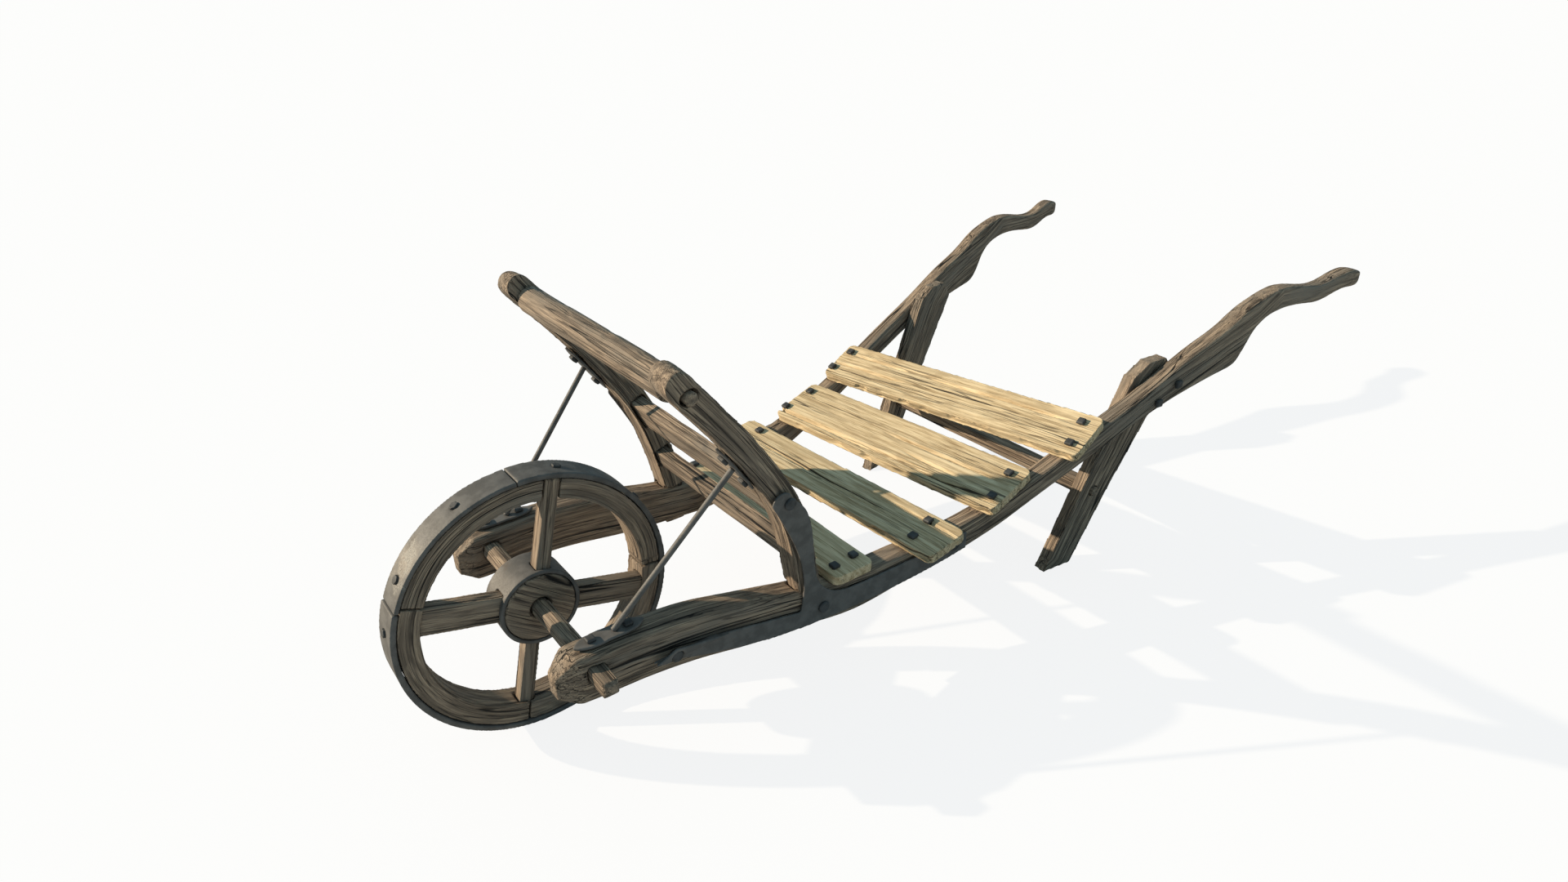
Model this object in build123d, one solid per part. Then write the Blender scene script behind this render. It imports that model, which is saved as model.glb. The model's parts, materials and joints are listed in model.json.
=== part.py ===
from build123d import *
import math
import os

# Wooden wheelbarrow with a slatted bed, a front rack and one iron-shod wheel.
# Millimetres.  +X points forward to the wheel, +Y to the left side, +Z up.
# While it is built the wheel centre is above x = 0; every piece is moved at the
# end so that the origin lies under the middle of the whole object, on the ground.

# ---- wheel ------------------------------------------------------------------
wheel_radius = 210.0            # over the iron tyre
tyre_width = 50.0
long_strake_thickness = 9.0
short_strake_thickness = 7.5    # the shorter length of iron is thinner
short_strake_start = 22.0       # degrees, measured from forward towards up
short_strake_sweep = 67.7
strake_gap = 0.14               # degrees between the butted ends
rim_depth = 33.0                # wooden felloes, radially
rim_width = 47.0
felloe_joint_angles = (24.0, 104.4, 183.0, 283.4)
felloe_gap = 0.12               # degrees between neighbouring felloes
hub_radius = 54.5
hub_length = 62.0
hub_band_thickness = 6.5
hub_band_length = 60.0
# Each spoke: angle, width, how far its near face lies inside the rim's near
# face, and whether it laps over the rim as far as the tyre.
spoke_rows = (
    (16.0, 44.0, 3.0, False),
    (104.5, 24.0, 0.0, True),
    (196.0, 41.0, 3.0, False),
    (284.5, 25.0, 8.0, False),
)
spoke_thickness = 24.0
spoke_hub_depth = 24.0          # tenon into the hub
spoke_rim_depth = 10.0          # tenon into the rim
felloe_dowel_radius = 5.0
felloe_dowel_length = 36.0
tread_nail_angles = (11.2, 33.1, 66.8, 108.3, 150.0, 190.0, 226.0, 256.0, 318.0)
tread_nail_head_radius = 7.0
tread_nail_head_height = 4.6
tread_nail_sink = 2.0           # of the head, into the tyre
tread_nail_shank_radius = 2.5
tread_nail_length = 30.0

# ---- axle -------------------------------------------------------------------
axle_journal_radius = 14.0
axle_running_clearance = 0.08   # radial, between the axle and the hub bore
bore_mouth_radius = 17.0        # the worn mouth of the bore
bore_mouth_depth = 7.0
axle_body_radius = 15.5         # hewn eight-sided stretch on each side of the hub
axle_body_gap = 1.5             # side play between that stretch and the hub
axle_peg_width = 25.0           # squared end that passes through the side timber
axle_peg_projection = 40.0
axle_peg_chamfer = 5.0

# ---- side timbers: stations along the length --------------------------------
# Heights are measured from the axle, so that they follow the wheel's radius.
# (x, underside, top, half width); the first is the nose, the last the grip's end.
timber_stations = (
    (54.0, -45.0, 29.0, 24.5),
    (33.0, -47.0, 31.0, 26.0),
    (-60.0, -50.0, 31.0, 27.0),
    (-150.0, -61.0, 23.0, 26.0),
    (-250.0, -81.0, 1.0, 25.0),
    (-345.0, -93.0, -22.0, 24.5),
    (-440.0, -102.0, -31.0, 23.5),
    (-520.0, -85.0, -24.0, 22.0),
    (-640.0, -60.0, -6.0, 20.5),
    (-800.0, -4.0, 40.0, 19.0),
    (-940.0, 50.0, 97.0, 18.5),
    (-1060.0, 92.0, 146.0, 18.0),
    (-1150.0, 114.0, 188.0, 18.0),
    (-1225.0, 127.0, 218.0, 18.0),
    (-1258.0, 138.0, 236.0, 18.0),
    (-1290.0, 184.0, 249.0, 17.5),
    (-1350.0, 215.0, 262.0, 17.0),
    (-1440.0, 212.0, 250.0, 16.5),
    (-1500.0, 208.0, 246.0, 16.5),
    (-1560.0, 221.0, 259.0, 17.5),
    (-1592.0, 221.0, 255.0, 16.0),
    (-1605.0, 228.0, 249.0, 10.0),
)
# Plan of a timber's centre line: (x, distance from the middle of the barrow).
timber_plan = (
    (60.0, 177.0),
    (-60.0, 184.0),
    (-250.0, 191.0),
    (-405.0, 199.0),
    (-610.0, 232.0),
    (-914.0, 280.0),
    (-1290.0, 329.0),
    (-1500.0, 350.0),
    (-1605.0, 369.0),
)
timber_corner_share = 0.22      # corner radius as a share of the half width
nose_bevel_length = 27.0        # hewn bevels around the nose, along the timber
nose_bevel_top = 24.0
nose_bevel_bottom = 15.0
nose_bevel_side = 12.0

# ---- front rack -------------------------------------------------------------
post_thickness = 44.0           # across the barrow
post_lean_out = 4.7             # degrees
post_foot_x = -348.0
# Centre line of a post above its shoulder: (height above the axle, x, half depth).
post_line = (
    (-24.0, -350.0, 22.0),
    (44.0, -336.0, 21.5),
    (136.0, -309.0, 22.0),
    (220.0, -262.0, 21.5),
    (300.0, -206.0, 21.0),
    (370.0, -150.0, 21.5),
)
post_top_reach = 48.0           # straight stretch past the last point, to the tip
post_tenon_depth = 24.0         # through the side timber, across the barrow
post_tenon_length = 40.0        # along the timber
post_tenon_projection = 7.0
top_bar_radius = 23.0
top_bar_height = 371.0          # above the axle
top_bar_x = -146.0
top_bar_tenon_radius = 11.0
middle_bar_height = 137.0
middle_bar_x = -309.0
middle_bar_tall = 57.0
middle_bar_thick = 27.0
middle_bar_tilt = 25.0
lower_bar_height = 44.0
lower_bar_x = -334.0
lower_bar_tall = 31.0
lower_bar_thick = 25.0
lower_bar_tilt = 13.0
bar_tenon_depth = 16.0          # of the two lower bars, into each post

# ---- bed --------------------------------------------------------------------
plank_thickness = 18.0
plank_seat_depth = 1.5          # let into the timbers
plank_end_radius = 12.0
# From the front: x of the centre on the left and on the right timber, width, and
# how far the ends pass the timbers' outer faces (negative where they stop short).
planks = (
    (-427.0, -431.0, 82.0, 5.0, -4.0),
    (-573.0, -549.0, 88.0, 38.0, 24.0),
    (-733.0, -692.0, 116.0, 5.0, -8.0),
    (-890.0, -828.0, 100.0, 10.0, -5.0),
)
deck_bolt_head_width = 14.0
deck_bolt_head_height = 6.0
deck_bolt_radius = 4.0
deck_bolt_length = 46.0
deck_bolt_spread = 0.52         # distance between a pair, as a share of the plank
bolt_hole_clearance = 0.2

# ---- legs -------------------------------------------------------------------
leg_thickness = 27.0
leg_foot_x = -905.0             # middle of the foot, on the ground
leg_foot_width = 69.0
leg_knee_x = -976.0
leg_knee_height = 146.0
leg_knee_width = 80.0
leg_top_x = -1078.0
leg_top_width = 92.0
leg_top_above_timber = 16.0
leg_bolt_radius = 4.0
leg_bolt_head_width = 14.0
leg_bolt_head_height = 6.0
stretcher_height = 146.0
stretcher_tall = 27.0
stretcher_deep = 30.0
stretcher_tenon_radius = 9.5

# ---- ironwork ---------------------------------------------------------------
strap_thickness = 4.5
strap_front_x = -76.0
strap_rear_x = -642.0
strap_front_width = 24.0
strap_rear_width = 39.0
strap_upright_width = 34.0
strap_upright_top = 182.0       # above the axle
strap_clearance = 0.1
strap_bolt_radius = 4.5
strap_bolt_head_radius = 10.0
strap_bolt_head_height = 4.5
stay_radius = 4.6
stay_plate_thickness = 5.0
stay_plate_length = 106.0
stay_plate_width = 27.0
stay_foot_x = -33.0             # centre of the lower plate
stay_head_height = 246.0        # centre of the upper plate, above the axle
stay_bolt_spread = 56.0
stay_bolt_head_width = 13.0
stay_bolt_head_height = 5.5
stay_bolt_radius = 4.0
stay_bolt_length = 34.0
stay_bolt_stop = 3.0            # wood left between a lower bolt and the axle

LEFT, RIGHT = 1, -1
SIDE_NAMES = {LEFT: "left", RIGHT: "right"}

axle_height = wheel_radius


# ---- curves and small helpers -----------------------------------------------
def smooth_value(x, knots):
    """Value at x of a smooth curve through (x, value) knots, sorted by x."""
    rows = sorted(knots)
    if x <= rows[0][0]:
        return rows[0][1]
    if x >= rows[-1][0]:
        return rows[-1][1]
    slopes = []
    for i in range(len(rows)):
        lo = rows[max(i - 1, 0)]
        hi = rows[min(i + 1, len(rows) - 1)]
        slopes.append((hi[1] - lo[1]) / (hi[0] - lo[0]))
    i = max(k for k in range(len(rows) - 1) if rows[k][0] <= x)
    (x0, v0), (x1, v1) = rows[i], rows[i + 1]
    span = x1 - x0
    t = (x - x0) / span
    return (v0 * (2 * t**3 - 3 * t**2 + 1) + slopes[i] * span * (t**3 - 2 * t**2 + t)
            + v1 * (3 * t**2 - 2 * t**3) + slopes[i + 1] * span * (t**3 - t**2))


def timber_y(x):
    """Distance of a side timber's centre line from the middle, at x."""
    return smooth_value(x, timber_plan)


def timber_top(x):
    """Height of a side timber's top face at x."""
    return axle_height + smooth_value(x, [(s[0], s[2]) for s in timber_stations])


def timber_half_width(x):
    """Half the thickness of a side timber at x."""
    return smooth_value(x, [(s[0], s[3]) for s in timber_stations])


def timber_underside(x):
    """Height of a side timber's underside at x."""
    return axle_height + smooth_value(x, [(s[0], s[1]) for s in timber_stations])


def timber_slope(x):
    """Rise of the top face towards the rear, in degrees, at x."""
    return math.degrees(math.atan2(timber_top(x - 20) - timber_top(x + 20), 40))


def splay_angle(x):
    """Angle of a timber's centre line from straight back, in degrees, at x."""
    return math.degrees(math.atan2(timber_y(x - 20) - timber_y(x + 20), 40))


def cylinder_between(start, end, radius):
    """A round bar from one point to another."""
    line = Vector(*end) - Vector(*start)
    return Plane(Vector(*start), z_dir=line) * extrude(Circle(radius), line.length)


def square_headed_bolt(place, head_width, head_height, shank_radius, length):
    """Bolt at a Plane on the surface, its head outwards along the plane's normal."""
    head = extrude(Rectangle(head_width, head_width), head_height)
    head = chamfer(head.edges().group_by(Axis.Z)[-1], 0.2 * head_height)
    shank = extrude(Circle(shank_radius), -length)
    return place * (head + shank)


def bolt_hole(place, shank_radius, length):
    """The hole that a bolt of this size needs, with its running clearance."""
    hole = extrude(Circle(shank_radius + bolt_hole_clearance), -length - 1)
    return place * (hole + extrude(Circle(shank_radius + bolt_hole_clearance), 12))


def mirrored(shape):
    """The same piece on the other side of the barrow."""
    return mirror(shape, about=Plane.XZ)


# ---- wheel ------------------------------------------------------------------
def wheel_frame(angle):
    """Plane at the wheel centre: x out along the angle, z along the axle (+Y)."""
    turn = math.radians(angle)
    out = Vector(math.cos(turn), 0, math.sin(turn))
    return Plane(Vector(0, 0, axle_height), x_dir=out, z_dir=Vector(0, 1, 0))


def ring_segment(inner, outer, width, start, sweep):
    """Part of a ring about the axle, from a start angle through a sweep."""
    section = Plane.XZ * Pos((inner + outer) / 2, 0) * Rectangle(outer - inner, width)
    ring = revolve(section, Axis.Z, sweep)
    # A turn about the plane's +Y axle runs from up to forward, so it is started
    # at the far end of the sweep.
    return wheel_frame(start + sweep) * ring


def make_spoke(row, rim_inner, rim_outer):
    """A straight spoke, tenoned into the hub and into or over the rim."""
    angle, width, inset, laps = row
    start = hub_radius - spoke_hub_depth
    end = rim_outer if laps else rim_inner + spoke_rim_depth
    middle = rim_width / 2 - inset - spoke_thickness / 2
    spoke = Pos((start + end) / 2, 0, middle) * Box(end - start, width, spoke_thickness)
    if laps:
        spoke = spoke & Cylinder(rim_outer, 4 * rim_width)
    return wheel_frame(angle) * spoke


def make_felloe_dowel(angle, radius):
    """A hidden dowel across a joint of the rim, clear of the spokes' tenons."""
    dowel = Rot(90, 0, 0) * Cylinder(felloe_dowel_radius, felloe_dowel_length)
    return wheel_frame(angle) * Pos(radius, 0, -rim_width / 4) * dowel


def make_wheel():
    """All pieces that turn with the wheel, by node name."""
    nodes = {}
    rim_outer = wheel_radius - long_strake_thickness
    rim_inner = rim_outer - rim_depth
    band_outer = hub_radius + hub_band_thickness
    long_start = short_strake_start + short_strake_sweep
    nodes["tyre_strake_short"] = ring_segment(
        rim_outer, rim_outer + short_strake_thickness, tyre_width,
        short_strake_start + strake_gap / 2, short_strake_sweep - strake_gap)
    nodes["tyre_strake_long"] = ring_segment(
        rim_outer, wheel_radius, tyre_width,
        long_start + strake_gap / 2, 360 - short_strake_sweep - strake_gap)

    spokes = [make_spoke(row, rim_inner, rim_outer) for row in spoke_rows]
    dowels = [make_felloe_dowel(angle, (rim_inner + rim_outer) / 2)
              for angle in felloe_joint_angles]
    count = len(felloe_joint_angles)
    for i in range(count):
        start = felloe_joint_angles[i]
        sweep = (felloe_joint_angles[(i + 1) % count] - start) % 360
        felloe = ring_segment(rim_inner, rim_outer, rim_width,
                              start + felloe_gap / 2, sweep - felloe_gap)
        nodes[f"felloe_{i + 1}"] = cut_where_met(felloe, spokes + dowels)
    nodes["felloe_dowels"] = Compound(children=dowels)
    for i, spoke in enumerate(spokes):
        nodes[f"spoke_{i + 1}"] = spoke

    hub_plane = Plane(Vector(0, 0, axle_height), x_dir=Vector(1, 0, 0),
                      z_dir=Vector(0, 1, 0))
    bore_radius = axle_journal_radius + axle_running_clearance
    hub = Cylinder(hub_radius, hub_length) - Cylinder(bore_radius, hub_length)
    mouth = Pos(0, 0, hub_length / 2 - bore_mouth_depth / 2) * Cone(
        bore_radius, bore_mouth_radius, bore_mouth_depth)
    hub = hub - mouth - mirror(mouth, about=Plane.XY)
    band = Cylinder(band_outer, hub_band_length) - Cylinder(hub_radius, hub_band_length)
    hub, band = hub_plane * hub, hub_plane * band
    nodes["hub"] = cut_where_met(hub, spokes)
    nodes["hub_band"] = cut_where_met(band, spokes)

    nails = []
    for angle in tread_nail_angles:
        in_short = 0 <= (angle - short_strake_start) % 360 <= short_strake_sweep
        tread = rim_outer + (short_strake_thickness if in_short else long_strake_thickness)
        place = wheel_frame(angle) * Pos(tread, 0, 0) * Rot(0, 90, 0)
        head = Pos(0, 0, -tread_nail_sink) * extrude(RegularPolygon(tread_nail_head_radius, 6),
                                          tread_nail_head_height)
        nails.append(place * (head + extrude(Circle(tread_nail_shank_radius),
                                             -tread_nail_length)))
    for name in list(nodes):
        if name.startswith(("tyre", "felloe_", "spoke")) and name != "felloe_dowels":
            nodes[name] = cut_where_met(nodes[name], nails)
    nodes["tread_nails"] = Compound(children=nails)
    return nodes


# ---- axle -------------------------------------------------------------------
def make_axle():
    """The fixed wooden axle, with squared ends through the side timbers."""
    across = Plane(Vector(0, 0, axle_height), x_dir=Vector(1, 0, 0),
                   z_dir=Vector(0, 1, 0))
    body_start = hub_length / 2 + axle_body_gap
    body_end = timber_y(0) - timber_half_width(0)
    peg_end = timber_y(0) + timber_half_width(0) + axle_peg_projection
    axle = Cylinder(axle_journal_radius, 2 * body_end)
    peg = Box(axle_peg_width, axle_peg_width, 2 * peg_end)
    peg = chamfer(peg.edges().group_by(Axis.Z)[-1] + peg.edges().group_by(Axis.Z)[0],
                  axle_peg_chamfer)
    middle = Box(2 * axle_body_radius, 2 * axle_body_radius, 2 * body_end)
    peg = peg - middle
    hewn = Plane.XY.offset(body_start) * extrude(
        RegularPolygon(axle_body_radius, 8, major_radius=False), body_end - body_start)
    hewn = hewn + mirror(hewn, about=Plane.XY)
    return across * (axle + hewn + peg)


# ---- side timber ------------------------------------------------------------
def make_timber():
    """Left side timber, uncut: lofted through its stations."""
    sections = []
    for x, low, high, half in timber_stations:
        corner = min(timber_corner_share * 2 * half, 0.45 * (high - low))
        place = Plane(Vector(x, timber_y(x), axle_height + (low + high) / 2),
                      x_dir=Vector(0, 1, 0), z_dir=Vector(1, 0, 0))
        sections.append(place * RectangleRounded(2 * half, high - low, corner))
    tip, low, high, half = timber_stations[0]
    side_view = bevelled_outline(tip, axle_height + low, axle_height + high,
                                 nose_bevel_bottom, nose_bevel_top)
    plan_view = bevelled_outline(tip, timber_y(tip) - half, timber_y(tip) + half,
                                 nose_bevel_side, nose_bevel_side)
    timber = loft(sections) & (Plane.XZ * extrude(side_view, -600))
    return timber & extrude(plan_view, axle_height + 600)


def bevelled_outline(tip, low, high, low_cut, high_cut):
    """A very large face behind the nose's tip, with its two front corners bevelled."""
    spread = 12                 # how many bevels long each slanted edge is
    back = tip - spread * nose_bevel_length
    far = 3000
    return make_face(Polyline(
        (tip, low + low_cut), (tip, high - high_cut), (back, high + (spread - 1) * high_cut),
        (back, far), (-far, far), (-far, -far), (back, -far),
        (back, low - (spread - 1) * low_cut), (tip, low + low_cut)))


# ---- front rack -------------------------------------------------------------
def lean_post(shape):
    """Turn a piece drawn upright at the left post's foot to the post's lean."""
    foot = Vector(0, timber_y(post_foot_x), timber_top(post_foot_x))
    return Pos(foot) * Rot(-post_lean_out, 0, 0) * Pos(-foot) * shape


def post_y(height):
    """Distance of a post's middle from the centre, at a height over the ground."""
    rise = height - timber_top(post_foot_x)
    return timber_y(post_foot_x) + rise * math.tan(math.radians(post_lean_out))


def post_edge(side):
    """Points of the post's front (+1) or rear (-1) edge, from foot to top."""
    points = []
    for i, (height, x, half) in enumerate(post_line):
        lo = post_line[max(i - 1, 0)]
        hi = post_line[min(i + 1, len(post_line) - 1)]
        along = math.hypot(hi[1] - lo[1], hi[0] - lo[0])
        across_x, across_z = (hi[0] - lo[0]) / along, -(hi[1] - lo[1]) / along
        points.append((x + side * half * across_x,
                       axle_height + height + side * half * across_z))
    return points


def make_post():
    """Left post: curved forward, round-topped, with a tenon through the timber."""
    front, rear = post_edge(1), post_edge(-1)
    (h0, x0, _), (h1, x1, top_half) = post_line[-2], post_line[-1]
    along = math.hypot(x1 - x0, h1 - h0)
    ahead = Vector((x1 - x0) / along, (h1 - h0) / along)
    reach = post_top_reach - top_half
    front_end = Vector(*front[-1]) + ahead * reach
    rear_end = Vector(*rear[-1]) + ahead * reach
    tip = (front_end + rear_end) / 2 + ahead * top_half
    outline = [
        Spline([Vector(*p) for p in front]),
        Line(Vector(*front[-1]), front_end),
        ThreePointArc(front_end, tip, rear_end),
        Line(rear_end, Vector(*rear[-1])),
        Spline([Vector(*p) for p in reversed(rear)]),
        Line(Vector(*rear[0]), Vector(*front[0])),
    ]
    face = make_face(outline)
    plane = Plane(Vector(0, timber_y(post_foot_x), 0), x_dir=Vector(1, 0, 0),
                  z_dir=Vector(0, -1, 0))
    return lean_post(plane * extrude(face, post_thickness / 2, both=True))


def post_tenon():
    """The left post's tenon, through the side timber."""
    low = timber_underside(post_foot_x) - post_tenon_projection
    high = timber_top(post_foot_x) + 12
    return Pos(post_foot_x, timber_y(post_foot_x), (low + high) / 2) * Box(
        post_tenon_length, post_tenon_depth, high - low)


def cross_board(height, x, tall, thick, tilt):
    """A board between the posts, its ends let into them."""
    z = axle_height + height
    half = post_y(z) - post_thickness / 2 + bar_tenon_depth
    return Pos(x, 0, z) * Rot(0, tilt, 0) * Box(thick, 2 * half, tall)


def make_top_bar():
    """Round top bar with thinner round ends that pass through the posts."""
    z = axle_height + top_bar_height
    shoulder = post_y(z) - post_thickness / 2 + 1.5
    end = post_y(z) + post_thickness / 2 + 4
    across = Plane(Vector(top_bar_x, 0, z), x_dir=Vector(1, 0, 0), z_dir=Vector(0, 1, 0))
    return across * (Cylinder(top_bar_radius, 2 * shoulder)
                     + Cylinder(top_bar_tenon_radius, 2 * end))


# ---- bed --------------------------------------------------------------------
def plank_ends(plank):
    """Points where a plank's centre line crosses the two timbers, on its underside."""
    x_left, x_right = plank[:2]
    left = Vector(x_left, timber_y(x_left), timber_top(x_left) - plank_seat_depth)
    right = Vector(x_right, -timber_y(x_right), timber_top(x_right) - plank_seat_depth)
    return left, right


def plank_plane(plank):
    """Plane on a plank's underside: x along the board to the left, z upwards."""
    left, right = plank_ends(plank)
    along = (left - right).normalized()
    slope = math.radians((timber_slope(plank[0]) + timber_slope(plank[1])) / 2)
    downhill = Vector(math.cos(slope), 0, -math.sin(slope))
    normal = downhill.cross(along).normalized()
    return Plane((left + right) / 2, x_dir=along, z_dir=normal)


def make_plank(plank):
    """One bed board, its ends worn round."""
    x_left, x_right, width, past_left, past_right = plank
    left, right = plank_ends(plank)
    half = (left - right).length / 2
    left_end = half + timber_half_width(x_left) + past_left
    right_end = half + timber_half_width(x_right) + past_right
    board = Pos((left_end - right_end) / 2, 0) * RectangleRounded(
        left_end + right_end, width, plank_end_radius)
    return plank_plane(plank) * extrude(board, plank_thickness)


def deck_bolt_places(plank):
    """Planes on a plank's top where its four bolts go."""
    left, right = plank_ends(plank)
    half = (left - right).length / 2
    step = plank[2] * deck_bolt_spread / 2
    top = plank_plane(plank).offset(plank_thickness)
    splay = math.tan(math.radians(splay_angle(plank[0])))
    return [top * Pos(side * (half + fore * splay * step), -fore * step, 0)
            for side in (1, -1) for fore in (1, -1)]


# ---- legs -------------------------------------------------------------------
def leg_plane():
    """Plane on the inner face of the left timber where a leg is bolted."""
    x = leg_top_x
    turn = math.radians(splay_angle(leg_top_x))
    inner = timber_y(x) - timber_half_width(x)
    face = Plane(Vector(x, inner, 0), x_dir=Vector(math.cos(turn), -math.sin(turn), 0),
                 z_dir=Vector(-math.sin(turn), -math.cos(turn), 0))
    return face


def make_leg():
    """Left leg: a tapering board on the inner face of the timber."""
    top_z = timber_top(leg_top_x) + leg_top_above_timber

    def local(x, z):
        return (x - leg_top_x, z)

    front = [local(leg_foot_x + leg_foot_width / 2, 0),
             local(leg_knee_x + leg_knee_width / 2, leg_knee_height),
             local(leg_top_x + leg_top_width / 2, top_z - 22)]
    rear = [local(leg_top_x - 0.62 * leg_top_width, top_z - 34),
            local(leg_knee_x - leg_knee_width / 2, leg_knee_height),
            local(leg_foot_x - leg_foot_width / 2, 0)]
    crown = [local(leg_top_x + 0.10 * leg_top_width, top_z),
             local(leg_top_x - 0.38 * leg_top_width, top_z)]
    outline = Polyline(front + crown + rear, close=True)
    plane = leg_plane()
    board = extrude(make_face(outline), leg_thickness)
    return plane * board


def make_stretcher():
    """Bar between the legs, with round tenons through them."""
    z = stretcher_height
    x = leg_knee_x
    inner, outer = leg_face_y(x)
    bar = Box(stretcher_deep, 2 * inner, stretcher_tall)
    across = Rot(90, 0, 0) * Cylinder(stretcher_tenon_radius, 2 * outer + 4)
    return Pos(x, 0, z) * (bar + across)


def leg_face_y(x):
    """Distances of a leg's inner and outer face from the middle, at x."""
    plane = leg_plane()
    run = x - leg_top_x
    outer = plane.origin.Y - run * math.tan(math.radians(splay_angle(leg_top_x)))
    inner = outer - leg_thickness / math.cos(math.radians(splay_angle(leg_top_x)))
    return inner, outer


def leg_bolt_places():
    """Planes on the outer face of the left timber where the leg's bolts go."""
    places = []
    for x, rise in ((leg_top_x + 22, -20.0), (leg_top_x - 22, -10.0)):
        turn = math.radians(splay_angle(x))
        outward = Vector(math.sin(turn), math.cos(turn), 0)
        y = timber_y(x) + timber_half_width(x) / math.cos(turn)
        middle = (timber_top(x) + timber_underside(x)) / 2
        places.append(Plane(Vector(x, y + 0.3, middle + rise + 12),
                            x_dir=Vector(0, 0, 1), z_dir=outward))
    return places


# ---- ironwork ---------------------------------------------------------------
def strap_outline():
    """Side view of the Y-shaped strap: a face in x and height."""
    def beam_line(x):
        return (timber_top(x) + timber_underside(x)) / 2

    front_mid = beam_line(strap_front_x) - 8
    joint_x = post_foot_x - 22
    joint_mid = beam_line(joint_x) - 4
    rear_mid = beam_line(strap_rear_x) + 2
    fw, rw, uw = strap_front_width / 2, strap_rear_width / 2, strap_upright_width / 2
    top_z = axle_height + strap_upright_top
    top_x = smooth_value(strap_upright_top, [(p[0], p[1]) for p in post_line])
    foot_x = post_foot_x
    mid_z = axle_height + strap_upright_top * 0.45
    mid_x = smooth_value(strap_upright_top * 0.45, [(p[0], p[1]) for p in post_line])
    half_x = (joint_x + strap_rear_x) / 2
    half_mid = beam_line(half_x) - 1
    upper = [(strap_front_x - 34, front_mid + fw), (joint_x + 44, joint_mid + 13)]
    outline = [
        Line((strap_front_x, front_mid - 2), upper[0]),
        Line(upper[0], upper[1]),
        Spline([Vector(*upper[1]), Vector(foot_x + uw + 1, joint_mid + 30),
                Vector(mid_x + uw, mid_z), Vector(top_x + uw, top_z - uw)]),
        ThreePointArc((top_x + uw, top_z - uw), (top_x, top_z),
                      (top_x - uw, top_z - uw)),
        Spline([Vector(top_x - uw, top_z - uw), Vector(mid_x - uw, mid_z),
                Vector(foot_x - uw - 4, joint_mid + 42),
                Vector(joint_x - 52, joint_mid + 20)]),
        Spline([Vector(joint_x - 52, joint_mid + 20), Vector(half_x, half_mid + rw),
                Vector(strap_rear_x, rear_mid + rw)]),
        Line((strap_rear_x, rear_mid + rw), (strap_rear_x, rear_mid - rw)),
        Spline([Vector(strap_rear_x, rear_mid - rw), Vector(half_x, half_mid - rw),
                Vector(joint_x, joint_mid - 21), Vector(joint_x + 110, joint_mid - 8),
                Vector(strap_front_x - 34, front_mid - fw)]),
        Line((strap_front_x - 34, front_mid - fw), (strap_front_x, front_mid - 2)),
    ]
    return make_face(outline)


def side_band(inner_offset, outer_offset):
    """Upright band that follows the left timber's outer face, between two offsets."""
    steps = 14
    first, last = strap_front_x + 20, strap_rear_x - 20
    xs = [first + (last - first) * i / steps for i in range(steps + 1)]

    def line(offset):
        return [Vector(x, timber_y(x) + timber_half_width(x) + offset) for x in xs]

    near, far = line(inner_offset), line(outer_offset)
    face = make_face([Spline(near), Line(near[-1], far[-1]), Spline(list(reversed(far))),
                      Line(far[0], near[0])])
    return extrude(face, axle_height + strap_upright_top + 60)


def make_strap(timber, post):
    """Y-shaped iron strap on the outer face of the left timber and post."""
    blank = Plane.XZ * extrude(strap_outline(), -600)
    low = side_band(strap_clearance, strap_clearance + strap_thickness)
    split = timber_top(post_foot_x) + 4
    low = low & (Pos(-350, 0, split / 2) * Box(800, 1200, split))
    outer = timber_y(post_foot_x) + post_thickness / 2
    offset = timber_half_width(post_foot_x) - post_thickness / 2
    high = Pos(-300, outer + offset + strap_clearance + strap_thickness / 2, split + 150) * Box(
        500, strap_thickness, 300 + 2 * strap_thickness)
    high = lean_post(high)
    strap = (blank & low) + (blank & high)
    return strap - timber - post


def strap_face_y(x):
    """How far out the strap's outer face lies on the left timber."""
    return timber_y(x) + timber_half_width(x) + strap_clearance + strap_thickness


def strap_bolt_places():
    """Planes on the strap's outer face where its bolts go."""
    places = []
    for x, drop in ((strap_front_x - 36, -9.0), (post_foot_x - 20, 1.0),
                    (strap_rear_x + 26, 3.0)):
        reach = strap_bolt_head_radius
        rise = (strap_face_y(x + reach) - strap_face_y(x - reach)) / (2 * reach)
        z = (timber_top(x) + timber_underside(x)) / 2 + drop
        places.append(Plane(Vector(x, strap_face_y(x), z), x_dir=Vector(0, 0, 1),
                            z_dir=Vector(-rise, 1, 0).normalized()))
    z = axle_height + strap_upright_top - strap_upright_width * 0.62
    x = smooth_value(z - axle_height, [(p[0], p[1]) for p in post_line])
    lean = math.radians(post_lean_out)
    out = strap_face_y(post_foot_x) - timber_y(post_foot_x)
    y = (timber_y(post_foot_x) + out / math.cos(lean)
         + (z - timber_top(post_foot_x)) * math.tan(lean))
    places.append(Plane(Vector(x, y, z), x_dir=Vector(1, 0, 0),
                        z_dir=Vector(0, math.cos(lean), -math.sin(lean))))
    return places


def domed_bolt(place, length):
    """Round-headed strap bolt."""
    head = extrude(Circle(strap_bolt_head_radius), strap_bolt_head_height)
    head = fillet(head.edges().group_by(Axis.Z)[-1], 0.7 * strap_bolt_head_height)
    return place * (head + extrude(Circle(strap_bolt_radius), -length))


def bolt_seat(place):
    """Flat that is dressed on the strap under a domed bolt's head."""
    return place * extrude(Circle(strap_bolt_head_radius + bolt_hole_clearance),
                           2 * strap_bolt_head_height)


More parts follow.
